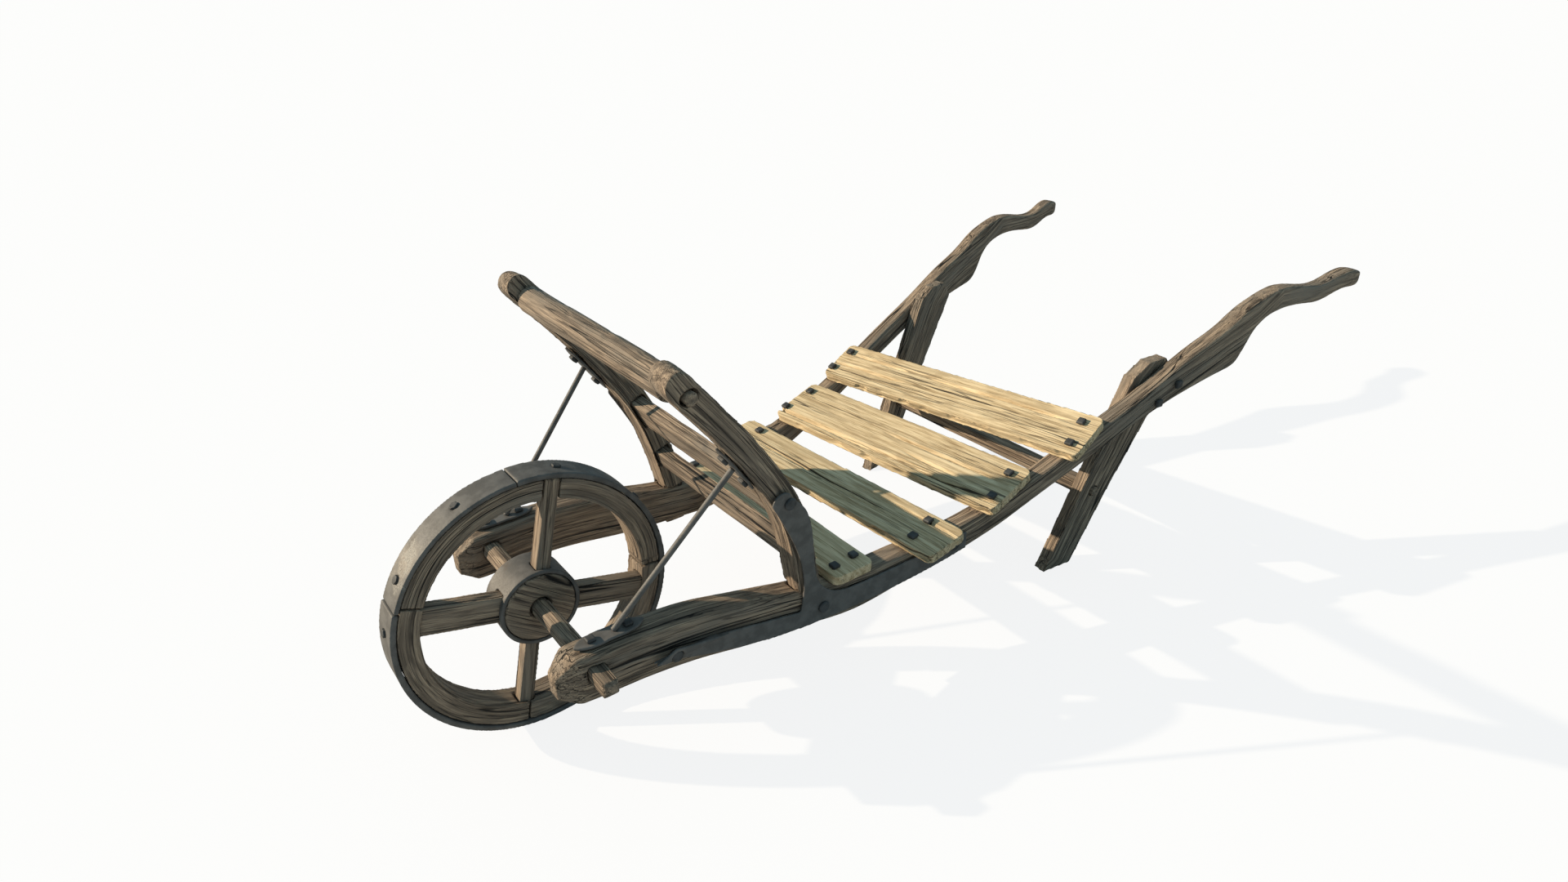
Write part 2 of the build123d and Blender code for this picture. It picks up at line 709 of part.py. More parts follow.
def leaf_plate():
    """Leaf-shaped iron plate, lying on its plane, long way along x."""
    half, wide = stay_plate_length / 2, stay_plate_width / 2
    face = make_face([
        Spline([Vector(-half, 0), Vector(-half * 0.72, wide * 0.8), Vector(0, wide),
                Vector(half * 0.72, wide * 0.8), Vector(half, 0)]),
        Spline([Vector(half, 0), Vector(half * 0.72, -wide * 0.8), Vector(0, -wide),
                Vector(-half * 0.72, -wide * 0.8), Vector(-half, 0)]),
    ])
    return extrude(face, stay_plate_thickness)


def stay_foot_plane():
    """Plane on top of the left timber, near the nose, for the lower plate."""
    x = stay_foot_x
    slope = math.atan2(timber_top(x + 25) - timber_top(x - 25), 50)
    along = Vector(math.cos(slope), 0, math.sin(slope))
    return Plane(Vector(x, timber_y(x), timber_top(x) + 0.4), x_dir=along,
                 z_dir=Vector(-math.sin(slope), 0, math.cos(slope)))


def stay_head_plane():
    """Plane on the front face of the left post for the upper plate."""
    h = stay_head_height
    line = [(p[0], p[1]) for p in post_line]
    half = smooth_value(h, [(p[0], p[2]) for p in post_line])
    rise = Vector(smooth_value(h + 20, line) - smooth_value(h - 20, line), 0, 40).normalized()
    out = Vector(rise.Z, 0, -rise.X)
    centre = Vector(smooth_value(h, line), timber_y(post_foot_x), axle_height + h)
    return lean_plane(Plane(centre + out * (half - 0.6), x_dir=rise, z_dir=out))


def lean_plane(plane):
    """A plane drawn on the upright post, turned to the post's lean."""
    foot = Vector(0, timber_y(post_foot_x), timber_top(post_foot_x))
    move = Pos(foot) * Rot(-post_lean_out, 0, 0) * Pos(-foot)
    return Plane(move * plane.location)


def make_stay(foot_plane, head_plane):
    """Round stay rod between the two plates."""
    start = (foot_plane * Pos(-6, 0, stay_plate_thickness)).position
    end = (head_plane * Pos(4, 0, stay_plate_thickness)).position
    return cylinder_between(tuple(start), tuple(end), stay_radius)


def stay_bolts(plane):
    """The two bolts of a stay plate."""
    return [plane * Pos(side * stay_bolt_spread / 2, 0, stay_plate_thickness)
            for side in (1, -1)]


def stay_bolt_reach(place):
    """Shank length of a stay bolt, which stops short of the axle where it is above it."""
    over_axle = abs(place.origin.X) < axle_peg_width / 2 + stay_bolt_radius + stay_bolt_stop
    if not over_axle:
        return stay_bolt_length
    return (place.origin.Z - axle_height - axle_peg_width / 2
            - stay_bolt_radius * abs(place.z_dir.X) - stay_bolt_stop)


def as_plane(place):
    """A bolt's place as a Plane, whether it came as a Location or a Plane."""
    return place if isinstance(place, Plane) else Plane(place)


def overlap(a, b):
    """Whether two solids share volume."""
    shared = a & b
    return shared is not None and shared.volume > 0.001


def cut_where_met(piece, tools):
    """A piece less each tool that meets it."""
    for tool in tools:
        if overlap(piece, tool):
            piece = piece - tool
    return piece


# ---- assembly ---------------------------------------------------------------
def build():
    """Every node of the barrow, by name."""
    nodes = make_wheel()
    axle = make_axle()
    nodes["axle"] = axle

    timber = make_timber()
    post = make_post()
    tenon = post_tenon()
    top_bar = make_top_bar()
    middle_bar = cross_board(middle_bar_height, middle_bar_x, middle_bar_tall,
                             middle_bar_thick, middle_bar_tilt)
    lower_bar = cross_board(lower_bar_height, lower_bar_x, lower_bar_tall,
                            lower_bar_thick, lower_bar_tilt)
    boards = [make_plank(p) for p in planks]
    leg = make_leg()
    stretcher = make_stretcher()

    post = (post - timber) + tenon
    strap = make_strap(timber, post)
    foot_plane, head_plane = stay_foot_plane(), stay_head_plane()
    foot_plate = (foot_plane * leaf_plate()) - timber
    head_plate = (head_plane * leaf_plate()) - post
    stay = make_stay(foot_plane, head_plane)

    deck_places = [[as_plane(q) for q in deck_bolt_places(p)] for p in planks]
    left_deck = [q for row in deck_places for q in row if q.origin.Y > 0]
    right_deck = [q for row in deck_places for q in row if q.origin.Y < 0]
    leg_places = leg_bolt_places()
    strap_places = strap_bolt_places()
    stay_places = [as_plane(q) for q in stay_bolts(foot_plane) + stay_bolts(head_plane)]

    leg_bolt_length = 2 * timber_half_width(leg_top_x) + leg_thickness - 6
    strap_bolt_length = strap_thickness + post_thickness - bar_tenon_depth - 3
    leg_holes = [bolt_hole(q, leg_bolt_radius, leg_bolt_length) for q in leg_places]
    strap_holes = [bolt_hole(q, strap_bolt_radius, strap_bolt_length)
                   for q in strap_places]
    stay_holes = [bolt_hole(q, stay_bolt_radius, stay_bolt_reach(q)) for q in stay_places]
    deck_holes = {
        LEFT: [bolt_hole(q, deck_bolt_radius, deck_bolt_length) for q in left_deck],
        RIGHT: [bolt_hole(q, deck_bolt_radius, deck_bolt_length) for q in right_deck],
    }

    shared_cuts = [axle, tenon] + leg_holes + strap_holes + stay_holes
    leg = cut_where_met(leg, [stretcher, timber])
    post_cut = cut_where_met(post, [top_bar, middle_bar, lower_bar]
                             + strap_holes + stay_holes)
    strap = cut_where_met(strap, strap_holes + [bolt_seat(q) for q in strap_places])
    foot_plate = cut_where_met(foot_plate, stay_holes + [stay])
    head_plate = cut_where_met(head_plate, stay_holes + [stay])
    leg = cut_where_met(leg, leg_holes)

    for side in (LEFT, RIGHT):
        name = SIDE_NAMES[side]

        def placed(shape):
            return shape if side == LEFT else mirrored(shape)

        body = placed(cut_where_met(timber, shared_cuts))
        nodes[f"side_timber_{name}"] = cut_where_met(body, boards + deck_holes[side])
        nodes[f"rack_post_{name}"] = placed(post_cut)
        nodes[f"strap_{name}"] = cut_where_met(placed(strap), boards)
        nodes[f"stay_rod_{name}"] = placed(stay)
        nodes[f"stay_foot_plate_{name}"] = placed(foot_plate)
        nodes[f"stay_head_plate_{name}"] = placed(head_plate)
        nodes[f"leg_{name}"] = placed(leg)

    nodes["rack_bar_top"] = top_bar
    nodes["rack_bar_middle"] = middle_bar
    nodes["rack_bar_lower"] = lower_bar
    nodes["leg_stretcher"] = stretcher
    all_deck_holes = deck_holes[LEFT] + deck_holes[RIGHT]
    for i, board in enumerate(boards):
        nodes[f"deck_plank_{i + 1}"] = cut_where_met(board, all_deck_holes)

    nodes["deck_bolts"] = Compound(children=[
        square_headed_bolt(q, deck_bolt_head_width, deck_bolt_head_height,
                           deck_bolt_radius, deck_bolt_length)
        for row in deck_places for q in row])
    leg_bolts = [square_headed_bolt(q, leg_bolt_head_width, leg_bolt_head_height,
                                    leg_bolt_radius, leg_bolt_length)
                 for q in leg_places]
    strap_bolts = [domed_bolt(q, strap_bolt_length) for q in strap_places]
    plate_bolts = [square_headed_bolt(q, stay_bolt_head_width, stay_bolt_head_height,
                                      stay_bolt_radius, stay_bolt_reach(q))
                   for q in stay_places]
    for name, bolts in (("leg_bolts", leg_bolts), ("strap_bolts", strap_bolts),
                        ("stay_bolts", plate_bolts)):
        nodes[name] = Compound(children=bolts + [mirrored(b) for b in bolts])
    return nodes


def main():
    nodes = build()
    boxes = [shape.bounding_box() for shape in nodes.values()]
    front = max(box.max.X for box in boxes)
    rear = min(box.min.X for box in boxes)
    shift = Pos(-(front + rear) / 2, 0, 0)
    os.makedirs("parts", exist_ok=True)
    for name, shape in nodes.items():
        export_step(shift * shape, f"parts/{name}.step")
    print("origin shift", round((front + rear) / 2, 3), "nodes", len(nodes))


main()
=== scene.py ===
import json
import logging
import math
from dataclasses import dataclass, field
from enum import Enum

import bpy
import numpy as np
from mathutils import Matrix, Vector, noise

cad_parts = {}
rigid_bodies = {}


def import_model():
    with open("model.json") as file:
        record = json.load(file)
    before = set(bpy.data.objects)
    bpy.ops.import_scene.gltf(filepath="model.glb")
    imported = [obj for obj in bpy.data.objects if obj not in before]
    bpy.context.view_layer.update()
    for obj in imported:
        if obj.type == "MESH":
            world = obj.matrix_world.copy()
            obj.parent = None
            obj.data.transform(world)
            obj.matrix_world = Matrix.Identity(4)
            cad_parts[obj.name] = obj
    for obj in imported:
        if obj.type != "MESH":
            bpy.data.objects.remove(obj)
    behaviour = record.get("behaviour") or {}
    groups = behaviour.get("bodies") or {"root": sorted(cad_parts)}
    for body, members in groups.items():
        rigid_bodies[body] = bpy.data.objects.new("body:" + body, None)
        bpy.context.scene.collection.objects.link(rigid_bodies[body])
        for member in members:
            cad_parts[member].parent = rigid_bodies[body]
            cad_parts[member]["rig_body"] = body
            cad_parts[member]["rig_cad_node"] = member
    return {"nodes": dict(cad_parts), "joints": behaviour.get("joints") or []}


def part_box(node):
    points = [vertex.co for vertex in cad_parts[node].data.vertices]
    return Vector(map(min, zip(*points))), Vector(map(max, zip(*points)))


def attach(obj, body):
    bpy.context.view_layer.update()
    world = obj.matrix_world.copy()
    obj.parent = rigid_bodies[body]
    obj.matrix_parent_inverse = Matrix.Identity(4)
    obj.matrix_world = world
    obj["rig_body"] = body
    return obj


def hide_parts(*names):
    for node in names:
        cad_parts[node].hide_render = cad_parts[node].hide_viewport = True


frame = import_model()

log = logging.getLogger("wheelbarrow")

WHEEL_RADIUS = 0.210
GRAIN = "grain"                 # attribute: place along and across the fibres, in metres
WEAR = "wear"                   # attribute: how exposed a spot is, 0 to 1
SEED_STEP = (1.7, 0.9, 0.4)     # how far a seed of 1 moves a piece in its noises

Triple = tuple[float, float, float]
Colour = Triple

# Noises that shape a surface: cells to a metre along and across the fibres.
HOLLOWS = (11.0, 30.0, 30.0)
RIDGES = (9.0, 130.0, 130.0)
BITES = (16.0, 4.0, 40.0)
CHIPS = (26.0, 3.0, 55.0)
WANDER = (9.0, 1.0, 1.0)        # of a split's line
WORN_PATCHES = (24.0, 24.0, 24.0)

CHIP_GAIN, CHIP_START = 7.0, 4.0    # how abruptly a chip begins, and how rare chips are
CHIP_SHARE = 0.8                # a chip's depth as a share of the ragged depth
END_GRAIN_CALM = 0.8            # share of the unevenness that sawn ends lack
FULL_WEAR = 1.2                 # cells an edge moves where it is fully exposed
WELD = 1e-6
SLICES = 25                     # stations that follow a bent piece's middle
SPLIT_WANDER = 0.004
SPLIT_TAPER = 0.04              # length over which a split runs out


class Slot(Enum):
    """The record's material slots."""

    FRAME_WOOD = "frame_wood"
    BED_WOOD = "bed_wood"
    FORGED_IRON = "forged_iron"
    WHEEL_IRON = "wheel_iron"


class Flow(Enum):
    """How the fibres of a piece run."""

    ALONG = "along one direction, following the piece's bends"
    AROUND = "around the axle"


# ---- shader building --------------------------------------------------------


class Shader:
    """Adds and joins nodes in one shader tree."""

    def __init__(self, tree: bpy.types.NodeTree) -> None:
        """Start from an empty tree.

        Args:
            tree: the material's or group's node tree.
        """
        self.tree = tree
        tree.nodes.clear()

    def add(self, kind: str, into: dict | None = None, **settings) -> bpy.types.Node:
        """Add a node.

        Args:
            kind: the node's Blender type.
            into: values or sockets for its inputs, by name or number.
            settings: the node's own options.

        Returns:
            The new node.
        """
        node = self.tree.nodes.new(kind)
        for name, value in settings.items():
            setattr(node, name, value)
        for name, value in (into or {}).items():
            if isinstance(value, bpy.types.NodeSocket):
                self.tree.links.new(value, node.inputs[name])
            else:
                node.inputs[name].default_value = value
        return node

    def math(self, operation: str, a, b=0.0) -> bpy.types.NodeSocket:
        """Join two values by arithmetic.

        Args:
            operation: the Math node's operation.
            a: the first value or socket.
            b: the second value or socket.

        Returns:
            The result's socket.
        """
        node = self.add("ShaderNodeMath", {0: a, 1: b}, operation=operation)
        return node.outputs[0]

    def stretch(self, vector, scale: Triple) -> bpy.types.NodeSocket:
        """Scale a vector differently along its three axes.

        Args:
            vector: the socket to scale.
            scale: the three factors.

        Returns:
            The scaled vector's socket.
        """
        node = self.add("ShaderNodeVectorMath", {0: vector, 1: scale}, operation="MULTIPLY")
        return node.outputs[0]

    def noise(self, vector, detail: float = 4.0, rough: float = 0.55,
              warp: float = 0.0) -> bpy.types.NodeSocket:
        """A noise value between 0 and 1, one cell to a unit of its vector.

        Args:
            vector: where it is read.
            detail: how many finer layers it has.
            rough: how strong those are.
            warp: how far it is distorted.

        Returns:
            The value's socket.
        """
        node = self.add("ShaderNodeTexNoise", {
            "Vector": vector, "Scale": 1.0, "Detail": detail, "Roughness": rough,
            "Distortion": warp})
        return node.outputs["Fac"]

    def step(self, value, low: float, high: float, first: float = 0.0,
             last: float = 1.0) -> bpy.types.NodeSocket:
        """Smooth step from one level to another.

        Args:
            value: what is mapped.
            low: where the step starts.
            high: where it ends.
            first: the level before it.
            last: the level after it.

        Returns:
            The mapped value's socket.
        """
        node = self.add("ShaderNodeMapRange", {
            "Value": value, "From Min": low, "From Max": high, "To Min": first,
            "To Max": last}, interpolation_type="SMOOTHSTEP")
        return node.outputs["Result"]

    def mix(self, factor, a, b, blend: str = "MIX") -> bpy.types.NodeSocket:
        """Mix two colours.

        Args:
            factor: how much of the second.
            a: the first colour or socket.
            b: the second colour or socket.
            blend: the way they are mixed.

        Returns:
            The mixed colour's socket.
        """
        node = self.add("ShaderNodeMix", data_type="RGBA", blend_type=blend)
        for socket, value in ((node.inputs[0], factor), (node.inputs[6], a), (node.inputs[7], b)):
            if isinstance(value, bpy.types.NodeSocket):
                self.tree.links.new(value, socket)
            else:
                socket.default_value = value if isinstance(value, float) else (*value, 1.0)
        return node.outputs[2]

    def ramp(self, value, stops: list[tuple[float, Colour]]) -> bpy.types.NodeSocket:
        """Colour a value by a ramp.

        Args:
            value: the value's socket.
            stops: places and colours, in order.

        Returns:
            The colour's socket.
        """
        node = self.add("ShaderNodeValToRGB", {0: value})
        bar = node.color_ramp
        while len(bar.elements) < len(stops):
            bar.elements.new(0.5)
        for element, (place, colour) in zip(bar.elements, stops):
            element.position = place
            element.color = (*colour, 1.0)
        return node.outputs[0]


def new_group(name: str, inputs: dict[str, str], outputs: dict[str, str]):
    """Make a shader group with named sockets.

    Args:
        name: the group's name.
        inputs: its inputs and their socket types.
        outputs: its outputs and their socket types.

    Returns:
        The group, its Shader, its input node and its output node.
    """
    tree = bpy.data.node_groups.new(name, "ShaderNodeTree")
    for socket, kind in inputs.items():
        tree.interface.new_socket(socket, in_out="INPUT", socket_type=kind)
    for socket, kind in outputs.items():
        tree.interface.new_socket(socket, in_out="OUTPUT", socket_type=kind)
    shader = Shader(tree)
    return tree, shader, shader.add("NodeGroupInput"), shader.add("NodeGroupOutput")


VALUE, VECTOR = "NodeSocketFloat", "NodeSocketVector"


@dataclass(frozen=True)
class GrainEffect:
    """Wood fibre, tone and drying cracks that follow the grain."""

    streak: Triple = (6.0, 170.0, 170.0)
    fibre: Triple = (26.0, 760.0, 760.0)
    tone: Triple = (3.5, 26.0, 26.0)
    long_crack: Triple = (0.9, 40.0, 40.0)
    short_crack: Triple = (4.0, 150.0, 150.0)
    crack_patch: Triple = (2.0, 24.0, 24.0)
    ring_width: float = 0.0042
    ring_bend: Triple = (2.6, 16.0, 16.0)
    ring_swing: float = 46.0

    def build(self) -> bpy.types.NodeTree:
        """Make the group, whose outputs are Streak, Fibre, Tone, Crack and Ring."""
        tree, shader, source, out = new_group(
            "wood_grain", {"Grain": VECTOR, "Cracking": VALUE},
            {"Streak": VALUE, "Fibre": VALUE, "Tone": VALUE, "Crack": VALUE, "Ring": VALUE})
        place = source.outputs["Grain"]
        streak = shader.noise(shader.stretch(place, self.streak), 5.0, 0.6, 0.25)
        fibre = shader.noise(shader.stretch(place, self.fibre), 3.0, 0.6)
        tone = shader.noise(shader.stretch(place, self.tone), 3.0, 0.5)
        patch = shader.noise(shader.stretch(place, self.crack_patch), 2.0)
        limit = shader.math("SUBTRACT", 1.0, source.outputs["Cracking"])
        open_here = shader.step(shader.math("SUBTRACT", patch, limit), -0.08, 0.08)
        long_line = self.line(shader, place, self.long_crack, 0.012)
        short_line = self.line(shader, place, self.short_crack, 0.030)
        short_line = shader.math("MULTIPLY", short_line, 0.62)
        crack = shader.math("MULTIPLY", shader.math("MAXIMUM", long_line, short_line), open_here)
        bend = shader.noise(shader.stretch(place, self.ring_bend), 2.0, 0.45)
        across = shader.add("ShaderNodeSeparateXYZ", {0: place}).outputs["Y"]
        turns = shader.math("ADD", shader.math("DIVIDE", across, self.ring_width),
                            shader.math("MULTIPLY", bend, self.ring_swing))
        ring = shader.step(shader.math("SINE", turns), 0.15, 0.95)
        for name, value in (("Streak", streak), ("Fibre", fibre), ("Tone", tone),
                            ("Crack", crack), ("Ring", ring)):
            tree.links.new(value, out.inputs[name])
        return tree

    @staticmethod
    def line(shader: Shader, place, scale: Triple, width: float) -> bpy.types.NodeSocket:
        """Thin lines where a stretched noise crosses its middle.

        Args:
            shader: the tree it is built in.
            place: the grain vector.
            scale: the noise's stretch.
            width: how wide the lines are, in noise levels.

        Returns:
            A mask that is 1 in a line.
        """
        level = shader.noise(shader.stretch(place, scale), 2.5, 0.4, 0.1)
        away = shader.math("ABSOLUTE", shader.math("SUBTRACT", level, 0.5))
        return shader.step(away, 0.25 * width, width, 1.0, 0.0)


@dataclass(frozen=True)
class ForgeEffect:
    """Hammer marks, pitting and rust of forged iron."""

    hammer: float = 55.0
    pitting: float = 520.0
    rust: float = 26.0

    def build(self) -> bpy.types.NodeTree:
        """Make the group, whose outputs are Hammer, Pitting and Rust."""
        tree, shader, source, out = new_group(
            "forged_skin", {"Place": VECTOR, "Rusting": VALUE},
            {"Hammer": VALUE, "Pitting": VALUE, "Rust": VALUE})
        place = source.outputs["Place"]
        hammer = shader.noise(shader.stretch(place, (self.hammer,) * 3), 2.0, 0.5)
        pitting = shader.noise(shader.stretch(place, (self.pitting,) * 3), 4.0, 0.65)
        patch = shader.noise(shader.stretch(place, (self.rust,) * 3), 6.0, 0.68)
        limit = shader.math("SUBTRACT", 1.0, source.outputs["Rusting"])
        rust = shader.step(shader.math("SUBTRACT", patch, limit), -0.05, 0.09)
        for name, value in (("Hammer", hammer), ("Pitting", pitting), ("Rust", rust)):
            tree.links.new(value, out.inputs[name])
        return tree


@dataclass(frozen=True)
class WoodFinish:
    """A weathered wood, from its crevices to its worn edges."""

    name: str
    dark: Colour
    middle: Colour
    light: Colour
    grey: Colour
    crack: Colour
    worn: Colour
    cracking: float
    greying: float
    ringing: float
    bump: float = 0.0016

    def build(self, grain: bpy.types.NodeTree) -> bpy.types.Material:
        """Make the material.

        Args:
            grain: the shared grain group.

        Returns:
            The material.
        """
        material = bpy.data.materials.new(self.name)
        material.use_nodes = True
        shader = Shader(material.node_tree)
        place = shader.add("ShaderNodeAttribute", attribute_name=GRAIN).outputs["Vector"]
        wear = shader.add("ShaderNodeAttribute", attribute_name=WEAR).outputs["Fac"]
        group = shader.add("ShaderNodeGroup", node_tree=grain)
        shader.tree.links.new(place, group.inputs["Grain"])
        group.inputs["Cracking"].default_value = self.cracking
        streak, fibre, tone, crack, ring = (
            group.outputs[n] for n in ("Streak", "Fibre", "Tone", "Crack", "Ring"))
        level = shader.math("ADD", shader.math("MULTIPLY", streak, 0.5),
                            shader.math("MULTIPLY", fibre, 0.5))
        colour = shader.ramp(level, [(0.38, self.dark), (0.49, self.middle), (0.62, self.light)])
        weathered = shader.step(tone, 0.62 - self.greying, 0.82 - self.greying, 0.0, 0.85)
        colour = shader.mix(weathered, colour, shader.mix(fibre, self.grey, self.middle), "MIX")
        edge = shader.math("MULTIPLY", shader.step(wear, 0.25, 0.8),
                           shader.step(streak, 0.38, 0.6))
        colour = shader.mix(edge, colour, self.worn)
        line = shader.math("MULTIPLY", ring, shader.step(fibre, 0.40, 0.62, 0.0, self.ringing))
        colour = shader.mix(line, colour, self.dark)
        colour = shader.mix(crack, colour, self.crack)
        height = shader.math("ADD", shader.math("MULTIPLY", streak, 0.7),
                             shader.math("MULTIPLY", fibre, 0.35))
        height = shader.math("SUBTRACT", height, shader.math("MULTIPLY", crack, 1.1))
        height = shader.math("SUBTRACT", height, shader.math("MULTIPLY", line, 0.3))
        bump = shader.add("ShaderNodeBump", {"Height": height, "Distance": self.bump,
                                             "Strength": 1.0})
        rough = shader.step(level, 0.35, 0.65, 0.88, 0.70)
        bsdf = shader.add("ShaderNodeBsdfPrincipled", {
            "Base Color": colour, "Roughness": rough, "Normal": bump.outputs["Normal"],
            "Specular IOR Level": 0.28})
        shader.add("ShaderNodeOutputMaterial", {"Surface": bsdf.outputs[0]})
        return material


@dataclass(frozen=True)
class IronFinish:
    """Dark forged iron, with rust, bare metal where its edges are rubbed, and a painted glint of
    the sun where a spot for it is given.
    """

    name: str
    dark: Colour = (0.100, 0.094, 0.090)
    light: Colour = (0.138, 0.130, 0.125)
    rust: Colour = (0.120, 0.088, 0.066)
    # bare-metal colour of worn edges, also used for the painted glint
    bare_and_glint: Colour = (0.34, 0.32, 0.29)
    rusting: float = 0.33
    # where the painted glint sits: a patch of bare-metal colour standing in for the sun's
    # reflection on the iron
    glint_at: Triple | None = None
    glint_radius: float = 0.042

    def build(self, forge: bpy.types.NodeTree) -> bpy.types.Material:
        """Make the material.

        Args:
            forge: the shared forged-skin group.

        Returns:
            The material.
        """
        material = bpy.data.materials.new(self.name)
        material.use_nodes = True
        shader = Shader(material.node_tree)
        place = shader.add("ShaderNodeTexCoord").outputs["Object"]
        wear = shader.add("ShaderNodeAttribute", attribute_name=WEAR).outputs["Fac"]
        group = shader.add("ShaderNodeGroup", node_tree=forge)
        shader.tree.links.new(place, group.inputs["Place"])
        group.inputs["Rusting"].default_value = self.rusting
        hammer, pitting, rust = (group.outputs[n] for n in ("Hammer", "Pitting", "Rust"))
        colour = shader.mix(shader.step(hammer, 0.36, 0.64), self.dark, self.light)
        colour = shader.mix(shader.math("MULTIPLY", rust, 0.75), colour, self.rust)
        edge = shader.math("MULTIPLY", shader.step(wear, 0.35, 0.95),
                           shader.step(pitting, 0.40, 0.62))
        bare_and_glint = shader.math("MULTIPLY", edge, 0.45)
        # painted glint: bare-metal colour, broken by pitting and rust specks, in a patch round the
        # given spot, standing in for the sun's reflection
        if self.glint_at is not None:
            away = shader.add("ShaderNodeVectorMath", {0: place, 1: self.glint_at},
                              operation="DISTANCE").outputs["Value"]
            broken = shader.math("MULTIPLY", shader.math("SUBTRACT", hammer, 0.5), 0.10)
            in_glint = shader.step(shader.math("ADD", away, broken), 0.25 * self.glint_radius,
                               self.glint_radius, 1.0, 0.0)
            painted_glint = shader.math("MULTIPLY", in_glint, shader.step(pitting, 0.36, 0.60, 0.0, 0.8))
            bare_and_glint = shader.math("MAXIMUM", bare_and_glint, painted_glint)
            rust_in_glint = shader.math("MULTIPLY", in_glint, shader.step(hammer, 0.42, 0.55))
            colour = shader.mix(shader.math("MULTIPLY", rust_in_glint, 0.8), colour, self.rust)
        # bare metal on worn edges, plus the painted glint
        colour = shader.mix(bare_and_glint, colour, self.bare_and_glint)
        height = shader.math("ADD", shader.math("MULTIPLY", hammer, 1.0),
                             shader.math("MULTIPLY", pitting, 0.22))
        bump = shader.add("ShaderNodeBump", {"Height": height, "Distance": 0.0009,
                                             "Strength": 0.8})
        rough = shader.math("ADD", shader.step(pitting, 0.3, 0.7, 0.56, 0.72),
                            shader.math("MULTIPLY", rust, 0.22))
        metal = shader.math("SUBTRACT", 0.16, shader.math("MULTIPLY", rust, 0.1))
        bsdf = shader.add("ShaderNodeBsdfPrincipled", {
            "Base Color": colour, "Roughness": rough, "Metallic": metal,
            "Normal": bump.outputs["Normal"]})
        shader.add("ShaderNodeOutputMaterial", {"Surface": bsdf.outputs[0]})
        return material


# ---- reworking a piece's surface --------------------------------------------


def select_only(obj: bpy.types.Object) -> None:
    """Make one object the selected and active one.

    Args:
        obj: the object.
    """
    bpy.ops.object.select_all(action="DESELECT")
    obj.select_set(True)
    bpy.context.view_layer.objects.active = obj


def points_of(obj: bpy.types.Object, what: str = "co") -> np.ndarray:
    """Read a mesh's points or normals.

    Args:
        obj: the object.
        what: "co" for places, "normal" for normals.

    Returns:
        One row for each vertex.
    """
    values = np.empty(len(obj.data.vertices) * 3)
    source = obj.data.vertices if what == "co" else obj.data.vertex_normals
    source.foreach_get("co" if what == "co" else "vector", values)
    return values.reshape(-1, 3)


def noise_at(points: np.ndarray, scale: Triple) -> np.ndarray:
    """Smooth noise between 0 and 1 at many places.

    Args:
        points: one place to a row, in metres.
        scale: cells to a metre along the three axes.

    Returns:
        One value for each row.
    """
    rows = (points * np.array(scale)).tolist()
    return np.array([0.5 + 0.5 * noise.noise(Vector(row)) for row in rows])


@dataclass(frozen=True)
class Surface:
    """How coarse a piece's mesh is and how unevenly it was worked.

    Lengths are in metres. Every move goes inwards, so a piece keeps its size.
    """

    cell: float
    uneven: float                # depth of broad hollows
    ridge: float                 # depth of narrow ones along the grain
    ragged: float                # depth of bites from the narrow sides
    edge_wear: float             # share of the full rounding that edges get
    rounding: int = 10           # how far edges can round


@dataclass(frozen=True)
class Split:
    """An open crack along the grain, in metres from the piece's centre line."""

    across: float
    start: float
    stop: float
    width: float = 0.0026
    depth: float = 0.0045

    def depth_at(self, grain: np.ndarray, seed: float) -> np.ndarray:
        """How deep the crack is at many places.

        Args:
            grain: rows of places along and across the fibres, moved by the seed.
            seed: the piece's seed.

        Returns:
            One depth for each row.
        """
        along = grain[:, 0] - SEED_STEP[0] * seed
        lengthways = grain * np.array((1.0, 0.0, 0.0))
        line = self.across + SPLIT_WANDER * (noise_at(lengthways, WANDER) - 0.5)
        away = np.abs(grain[:, 1] - SEED_STEP[1] * seed - line)
        ends = np.clip(np.minimum(along - self.start, self.stop - along) / SPLIT_TAPER, 0.0, 1.0)
        half = self.width * (0.4 + 0.6 * ends)
        return self.depth * ends * np.clip(1.4 - away / half, 0.0, 1.0)


